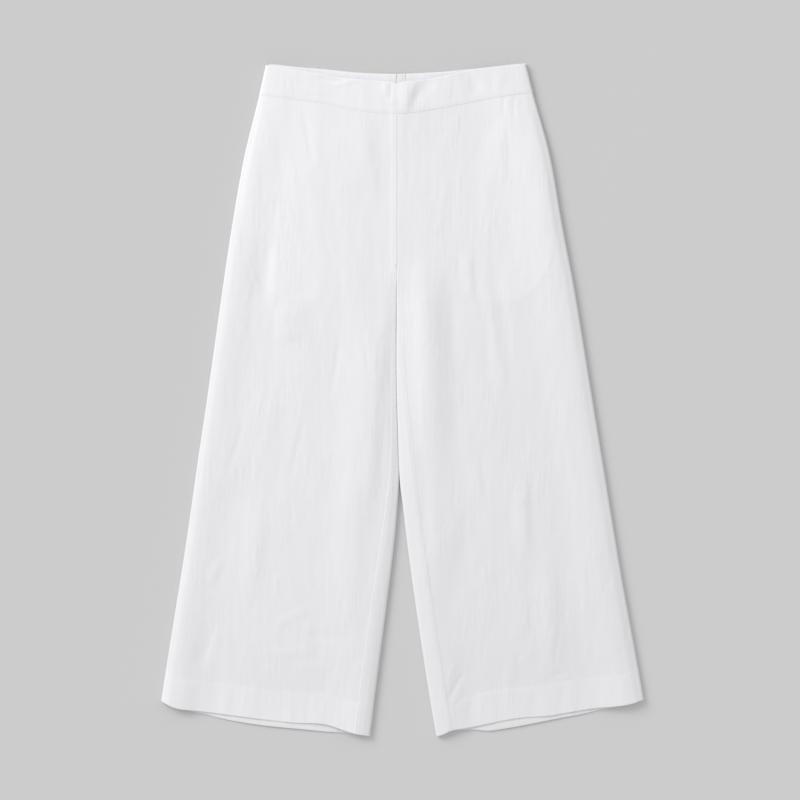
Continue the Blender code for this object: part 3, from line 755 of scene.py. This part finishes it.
def waistband_back(leg, material):
    """Half of the back waistband, from its side seam to the zip's slit, where its edge is turned in."""
    middle = np.linspace(0.0, 1.0, 60)[1:]
    angles = np.radians(np.arange(22.5, 181.0, 22.5))
    inside = np.linspace(0.6, ZIP_ALLOWANCE, 14)
    shares = np.concatenate([np.zeros(len(EDGE_LINES)), middle, np.ones(len(angles) + len(inside))])
    points = []
    for share in np.linspace(0.0, 1.0, 24):
        down = leg.back_top(shares) + (BAND_DEPTH - SEAM / 2) * share
        side_out, side_height = side_turn(leg, -EDGE_LINES - SEAM / 2, down[: len(EDGE_LINES)])
        slit = slit_half_width(down) + ZIP_TURN
        flat_out = side_out[-1] + (slit[-1] - side_out[-1]) * middle
        turn_out = slit[-1] - ZIP_TURN * np.sin(angles)
        out = np.concatenate([side_out, flat_out, turn_out, slit[-1] + inside])
        height = back_height(leg, out, down)
        height[: len(EDGE_LINES)] = side_height
        rise = np.concatenate([ZIP_TURN * (1 - np.cos(angles)), np.full(len(inside), 2 * ZIP_TURN)])
        height[-len(rise) :] += rise
        height[-len(inside) :] += 0.25 * bump((inside - 3.0) / 5.0)
        points.append(np.stack([out, down, height], axis=1))
    return cloth_piece("waistband_back_" + leg.side, garment_points(leg, np.array(points)), material)


def facing_back(leg, material):
    """The facing inside the back waistband, with soft ripples along its top."""
    shares = np.linspace(0.0, 1.0, 90)
    points = []
    for depth in np.linspace(0.0, 1.0, 24):
        down = leg.back_top(shares) + 0.5 + (FACING_DEPTH - 0.5) * depth
        outer = leg.side_fold(down) - 4.0
        end = FACING_START[leg.side] - 0.9 * soft_step((down - 11.0) / 14.0)
        out = outer + (end - outer) * shares
        height = back_height(leg, out, down) + CLOTH + 0.35
        height += (0.3 + 0.5 * rumple(out * leg.sign, down, 24.0, 40.0, 31)) * bump((depth - 0.45) / 0.45)
        points.append(np.stack([out, down, height], axis=1))
    points = garment_points(leg, np.array(points))
    return cloth_piece("waist_facing_back_" + leg.side, points, material, layers=1.0)


def pocket_bag(leg, material):
    """The pocket bag, two layers of cloth behind the front, hung from the waist seam and the side seam."""
    shares = np.linspace(0.0, 1.0, 50)
    lines = np.linspace(0.0, 1.0, 90)
    guess = leg.bag_inside(200.0) + (leg.bag_outside(200.0) - leg.bag_inside(200.0)) * shares
    bottom = leg.bag_bottom(guess)
    points = []
    for line in lines:
        down = BAG_TOP + (bottom - BAG_TOP) * line
        inside = leg.bag_inside(np.clip(down, *BAG_READ))
        outside = np.minimum(leg.bag_outside(np.clip(down, *BAG_READ)), leg.side_fold(down) - 8.0)
        out = inside + (outside - inside) * shares
        height = front_height(leg, out, down) - CLOTH / 2 - 0.65
        points.append(np.stack([out, down, height], axis=1))
    points = garment_points(leg, np.array(points))
    return cloth_piece("pocket_bag_" + leg.side, points, material, wall=1.0, layers=1.0)


def hem_stitches(leg, material):
    """The blind stitches that hold the hem: short picks of thread, just seen from outside."""
    outs = np.arange(float(leg.inseam(905.0)) + 4.0, float(leg.side_fold(870.0)) - 8.0, STITCH_SPACING)
    downs = np.full_like(outs, 890.0)
    for _ in range(4):
        downs = leg.hem_line(leg.share_in(outs, downs)) - HEM_DEPTH + 1.2
    heights = front_height(leg, outs, downs) + CLOTH / 2 + 0.02
    points = []
    faces = []
    for out, down, height in zip(outs, downs, heights):
        base = len(points)
        half = STITCH_LENGTH / 2
        points += [(out - half, down, height - 0.15), (out + half, down, height - 0.15)]
        points += [(out, down - 0.3, height), (out, down + 0.3, height), (out, down, height + 0.16)]
        points += [(out, down, height - 0.2)]
        corners = ((0, 2, 4), (0, 4, 3), (1, 4, 2), (1, 3, 4), (0, 5, 2), (0, 3, 5), (1, 2, 5), (1, 5, 3))
        faces += [tuple(base + corner for corner in face) for face in corners]
    garment = np.array(points) * np.array([leg.sign, 1.0, 1.0])
    mesh = bpy.data.meshes.new("hem_stitches_" + leg.side)
    mesh.from_pydata(in_frame(*np.moveaxis(garment, -1, 0)).tolist(), [], faces)
    return add_piece("thread_hem_stitches_" + leg.side, mesh, material)


# ---------------------------------------------------------------- zip


def zip_tape(leg, material):
    """Half of the zip's tape, between the back and the allowance that is turned in at the slit."""
    lines = np.linspace(0.0, 1.0, 120)
    shares = np.linspace(0.0, 1.0, 10)
    top = WAIST_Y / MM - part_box("zip_tape_" + leg.side)[1].y / MM + 0.4
    bottom = WAIST_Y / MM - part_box("zip_tape_" + leg.side)[0].y / MM
    points = []
    for line in lines:
        down = np.full_like(shares, top + (bottom - top) * line)
        inner = slit_half_width(down) + 0.75
        out = inner + (TAPE_WIDTH - inner) * shares
        height = CLOTH + 0.35 + pull_lift(out, down)
        points.append(np.stack([out, down, height], axis=1))
    points = garment_points(leg, np.array(points))
    node = "zip_tape_" + leg.side
    return cloth_piece(node, points, material, 0.45, 1.0, fabric="woven")


def zip_coil(material):
    """The closed nylon coil below the slider: two spirals of monofilament whose turns mesh."""
    start = WAIST_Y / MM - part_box("zip_coil")[1].y / MM
    stop = WAIST_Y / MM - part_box("zip_coil")[0].y / MM - 6.0
    turns = int((stop - start) / COIL_PITCH)
    steps = 12  # to a turn
    sides = 5  # of the filament
    radius = 0.17
    points = []
    faces = []
    for way in (-1.0, 1.0):
        angle = np.arange(turns * steps + 1) * 2 * math.pi / steps
        down = start + COIL_PITCH * (angle / (2 * math.pi) + 0.25 * way)
        x = way * (0.55 + 1.05 * np.cos(angle))
        height = 1.75 + 0.42 * np.sin(angle) + pull_lift(np.abs(x), down)
        centre = np.stack([x, down, height], axis=1)
        run = np.gradient(centre, axis=0)
        run /= np.linalg.norm(run, axis=1)[:, None]
        aside = np.cross(run, np.array([0.0, 1.0, 0.0]))
        aside /= np.linalg.norm(aside, axis=1)[:, None]
        other = np.cross(run, aside)
        base = len(points)
        for ring in range(len(centre)):
            for k in range(sides):
                turn = 2 * math.pi * k / sides
                spoke = math.cos(turn) * aside[ring] + math.sin(turn) * other[ring]
                points.append(centre[ring] + radius * spoke)
        for ring in range(len(centre) - 1):
            for k in range(sides):
                a = base + ring * sides + k
                b = base + ring * sides + (k + 1) % sides
                faces.append((a, b, b + sides, a + sides))
    mesh = bpy.data.meshes.new("zip_coil")
    mesh.from_pydata(in_frame(*np.moveaxis(np.array(points), -1, 0)).tolist(), [], faces)
    mesh.shade_smooth()
    return add_piece("nylon_zip_coil", mesh, material, "zip_coil")


# ---------------------------------------------------------------- materials


def linear(hex_colour):
    """An sRGB hex colour as linear RGBA."""
    values = [int(hex_colour[i : i + 2], 16) / 255 for i in (1, 3, 5)]
    return tuple(v / 12.92 if v <= 0.04045 else ((v + 0.055) / 1.055) ** 2.4 for v in values) + (1.0,)


def add(tree, kind, settings=(), sockets=()):
    """Adds a node with its settings, and its sockets' values or links."""
    node = tree.nodes.new(kind)
    for name, value in dict(settings).items():
        setattr(node, name, value)
    for name, value in dict(sockets).items():
        if isinstance(value, bpy.types.NodeSocket):
            tree.links.new(value, node.inputs[name])
        else:
            node.inputs[name].default_value = value
    return node


def new_material(name):
    material = bpy.data.materials.new(name)
    material.use_nodes = True
    material.node_tree.nodes.clear()
    return material, material.node_tree


def streaks(tree, places, across, along, detail=2.0):
    """Noise drawn out into streaks of that size, in metres."""
    scaled = add(tree, "ShaderNodeMapping", {}, {"Vector": places, "Scale": (1 / across, 1 / along, 1.0)})
    noise = {"Vector": scaled.outputs[0], "Scale": 1.0, "Detail": detail}
    return add(tree, "ShaderNodeTexNoise", {}, noise).outputs[0]


def mixed(tree, share, first, second):
    """A colour between two, by that share."""
    return add(tree, "ShaderNodeMix", {"data_type": "RGBA"}, {0: share, 6: first, 7: second}).outputs[2]


def total(tree, parts):
    """A sum of sockets, each times its weight."""
    sum_so_far = None
    for socket, weight in parts:
        values = {0: socket, 1: weight}
        operation = "MULTIPLY"
        if sum_so_far is not None:
            values[2] = sum_so_far
            operation = "MULTIPLY_ADD"
        sum_so_far = add(tree, "ShaderNodeMath", {"operation": operation}, values).outputs[0]
    return sum_so_far


def white_linen():
    """Bleached linen in plain weave. Its yarns are spun unevenly, so slubs show as fine pale and grey streaks
    along the warp and fewer across, its surface is quite matt, and washing leaves it finely crinkled along the
    warp. Single cloth is painted a little greyer than doubled cloth. This is painted shade, standing for the
    shade behind it that shows through."""
    material, tree = new_material("bleached_linen_plain_weave")
    cloth = add(tree, "ShaderNodeUVMap", {"uv_map": "cloth"}).outputs["UV"]
    warp_slubs = streaks(tree, cloth, 0.0016, 0.050, 3.0)
    weft_slubs = streaks(tree, cloth, 0.034, 0.0018, 3.0)
    long_slubs = streaks(tree, cloth, 0.0045, 0.120)
    crinkles = streaks(tree, cloth, 0.0055, 0.030)
    patches = streaks(tree, cloth, 0.060, 0.090)
    patchy = {"Value": patches, "From Min": 0.45, "From Max": 0.65, "To Min": 0.15}
    crinkled = add(tree, "ShaderNodeMapRange", {}, patchy).outputs[0]
    crinkles = add(tree, "ShaderNodeMath", {"operation": "MULTIPLY"}, {0: crinkles, 1: crinkled}).outputs[0]
    # The real cloth has about 16 threads to the centimetre. They are drawn at 8 so that the weave shows.
    # The Wave Texture has 20 / (2 pi) bands a unit.
    threads = []
    for direction in ("X", "Y"):
        wave = add(
            tree, "ShaderNodeTexWave",
            {"bands_direction": direction, "wave_profile": "SIN"},
            {"Vector": cloth, "Scale": 2 * math.pi / (20 * WEAVE_PITCH), "Distortion": 0.6},
        )
        threads.append(wave.outputs["Fac"])
    shade = total(tree, ((warp_slubs, 0.45), (weft_slubs, 0.25), (long_slubs, 0.30)))
    spread = {"Value": shade, "From Min": 0.28, "From Max": 0.72}
    yarn = add(tree, "ShaderNodeMapRange", {}, spread).outputs[0]
    # Painted shade: single cloth is painted greyer and doubled cloth paler, standing for the shade behind that
    # shows through one layer.
    single = mixed(tree, yarn, linear("#F0F0F3"), linear("#F5F5F8"))
    double = mixed(tree, yarn, linear("#F3F3F6"), linear("#F7F7FA"))
    layers = add(tree, "ShaderNodeAttribute", {"attribute_name": "layers"}).outputs["Fac"]
    colour = mixed(tree, layers, single, double)
    raised_by = ((threads[0], 0.00002), (threads[1], 0.00002), (warp_slubs, 0.00006), (crinkles, 0.0008))
    relief = total(tree, raised_by)
    raised = add(tree, "ShaderNodeBump", {}, {"Strength": 1.0, "Distance": 1.0, "Height": relief})
    shader = add(
        tree, "ShaderNodeBsdfPrincipled", {},
        {
            "Base Color": colour,
            "Roughness": 0.9,
            "Specular IOR Level": 0.3,
            "Sheen Weight": 0.06,
            "Sheen Roughness": 0.5,
            "Normal": raised.outputs[0],
        },
    )
    add(tree, "ShaderNodeOutputMaterial", {}, {"Surface": shader.outputs[0]})
    return material


def fine_material(name, dark, pale, roughness, across, along, relief):
    """A material with fine streaks of that size, in metres, between two shades and in relief."""
    material, tree = new_material(name)
    places = add(tree, "ShaderNodeTexCoord").outputs["Object"]
    grain = streaks(tree, places, across, along)
    colour = mixed(tree, grain, linear(dark), linear(pale))
    raised = add(tree, "ShaderNodeBump", {}, {"Strength": 1.0, "Distance": relief, "Height": grain})
    shader = add(
        tree, "ShaderNodeBsdfPrincipled", {},
        {"Base Color": colour, "Roughness": roughness, "Normal": raised.outputs[0]},
    )
    add(tree, "ShaderNodeOutputMaterial", {}, {"Surface": shader.outputs[0]})
    return material


def table_paper():
    """Matt grey paper. It is made a little darker towards the lamp, so that the table looks even all over."""
    material, tree = new_material("matt_grey_paper")
    places = add(tree, "ShaderNodeTexCoord").outputs["Object"]
    foot = (LAMP[0], LAMP[1], 0.0)
    away = add(tree, "ShaderNodeVectorMath", {"operation": "DISTANCE"}, {0: places, 1: foot}).outputs["Value"]
    near = PAPER_SHADES[0][0]
    far = PAPER_SHADES[-1][0]
    spread = {"Value": away, "From Min": near, "From Max": far}
    share = add(tree, "ShaderNodeMapRange", {}, spread).outputs[0]
    ramp = add(tree, "ShaderNodeValToRGB", {}, {"Fac": share})
    while len(ramp.color_ramp.elements) < len(PAPER_SHADES):
        ramp.color_ramp.elements.new(0.5)
    for element, (distance, shade) in zip(ramp.color_ramp.elements, PAPER_SHADES):
        element.position = (distance - near) / (far - near)
        element.color = (shade, shade, shade, 1.0)
    shader = add(
        tree, "ShaderNodeBsdfPrincipled", {},
        {"Base Color": ramp.outputs[0], "Roughness": 0.95, "Specular IOR Level": 0.1},
    )
    add(tree, "ShaderNodeOutputMaterial", {}, {"Surface": shader.outputs[0]})
    return material


# ---------------------------------------------------------------- table, light and camera


def table_and_light():
    half = TABLE_HALF
    z = CAD_BOX[0].z - 0.0002
    mesh = bpy.data.meshes.new("table")
    corners = [(-half, -half, z), (half, -half, z), (half, half, z), (-half, half, z)]
    mesh.from_pydata(corners, [], [(0, 1, 2, 3)])
    table = bpy.data.objects.new("table", mesh)
    bpy.context.scene.collection.objects.link(table)
    mesh.materials.append(table_paper())

    world = bpy.data.worlds.new("studio")
    bpy.context.scene.world = world
    world.use_nodes = True
    background = world.node_tree.nodes["Background"]
    background.inputs["Color"].default_value = (1.0, 1.0, 1.0, 1.0)
    background.inputs["Strength"].default_value = ROOM_LIGHT

    light = bpy.data.lights.new("softbox", "AREA")
    light.shape = "SQUARE"
    light.size = LAMP_SIZE
    light.energy = LAMP_WATTS
    lamp = bpy.data.objects.new("softbox", light)
    lamp.location = Vector(LAMP)
    lamp.rotation_euler = (-lamp.location).to_track_quat("-Z", "Y").to_euler()
    bpy.context.scene.collection.objects.link(lamp)


def camera():
    data = bpy.data.cameras.new("camera")
    data.lens = LENS
    data.sensor_width = SENSOR
    holder = bpy.data.objects.new("camera", data)
    above = VIEW_WIDTH * data.lens / data.sensor_width
    holder.location = Vector((CENTRE_X + VIEW_MIDDLE[0] * MM, WAIST_Y - VIEW_MIDDLE[1] * MM, above))
    bpy.context.scene.collection.objects.link(holder)
    bpy.context.scene.camera = holder


def main():
    bpy.context.scene.view_settings.view_transform = "Standard"
    step = 2.8
    linen = white_linen()
    thread = fine_material("spun_polyester_thread", "#EDEDF0", "#FAFAFB", 0.7, 0.0003, 0.0003, 0.00003)
    tape = fine_material("woven_polyester_tape", "#E4E4E7", "#F4F4F6", 0.85, 0.0008, 0.0012, 0.0001)
    nylon = fine_material("nylon_monofilament", "#EEEEF0", "#F6F6F7", 0.35, 0.002, 0.002, 0.00002)
    enamel = fine_material("white_enamel_on_zinc", "#EFEFF0", "#F4F4F5", 0.3, 0.004, 0.004, 0.00001)
    legs = {side: Leg(side) for side in SIDES}
    for leg in legs.values():
        leg_piece(leg, False, linen, step * 2)
        leg_piece(leg, True, linen, step)
        waistband_back(leg, linen)
        facing_back(leg, linen)
        pocket_bag(leg, linen)
        hem_stitches(leg, thread)
        zip_tape(leg, tape)
    waistband_front(legs, linen)
    zip_coil(nylon)
    for node in ("zip_slider", "zip_pull"):
        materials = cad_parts[node].data.materials
        materials.clear()
        materials.append(enamel)
    table_and_light()
    camera()


main()
